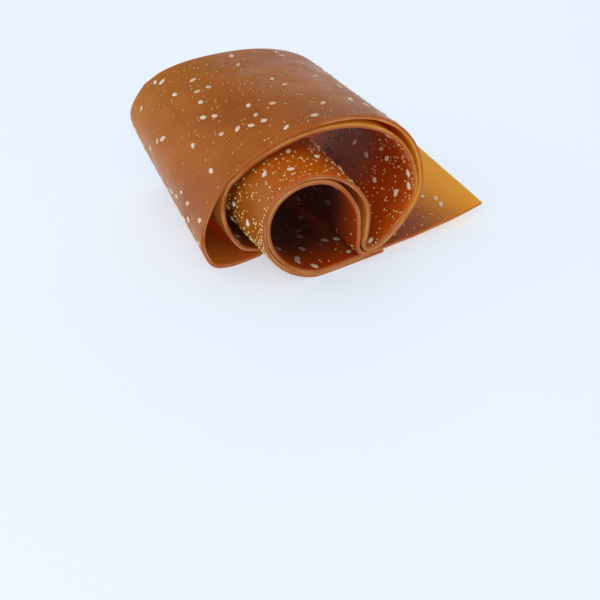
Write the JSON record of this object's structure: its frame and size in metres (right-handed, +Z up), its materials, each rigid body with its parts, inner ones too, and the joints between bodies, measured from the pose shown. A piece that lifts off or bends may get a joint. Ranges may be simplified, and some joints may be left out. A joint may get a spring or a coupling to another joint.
{
  "type": "fruit leather",
  "caption": "Long sheet of seeded fruit leather, folded on itself and loosely curled into an open roll with a tail that lies flat.",
  "frame": {"origin": "centre of the bounding box on the plane the roll rests on", "axes": "+Z up, +X towards the flat tail, +Y along the roll away from the end with the leading curl"},
  "size_m": [0.1154, 0.0916, 0.0562],
  "materials": {
    "leather": "satin, slightly translucent orange-brown"
  },
  "bodies": {
    "root": {"leather_sheet": "leather"}
  },
  "joints": []
}
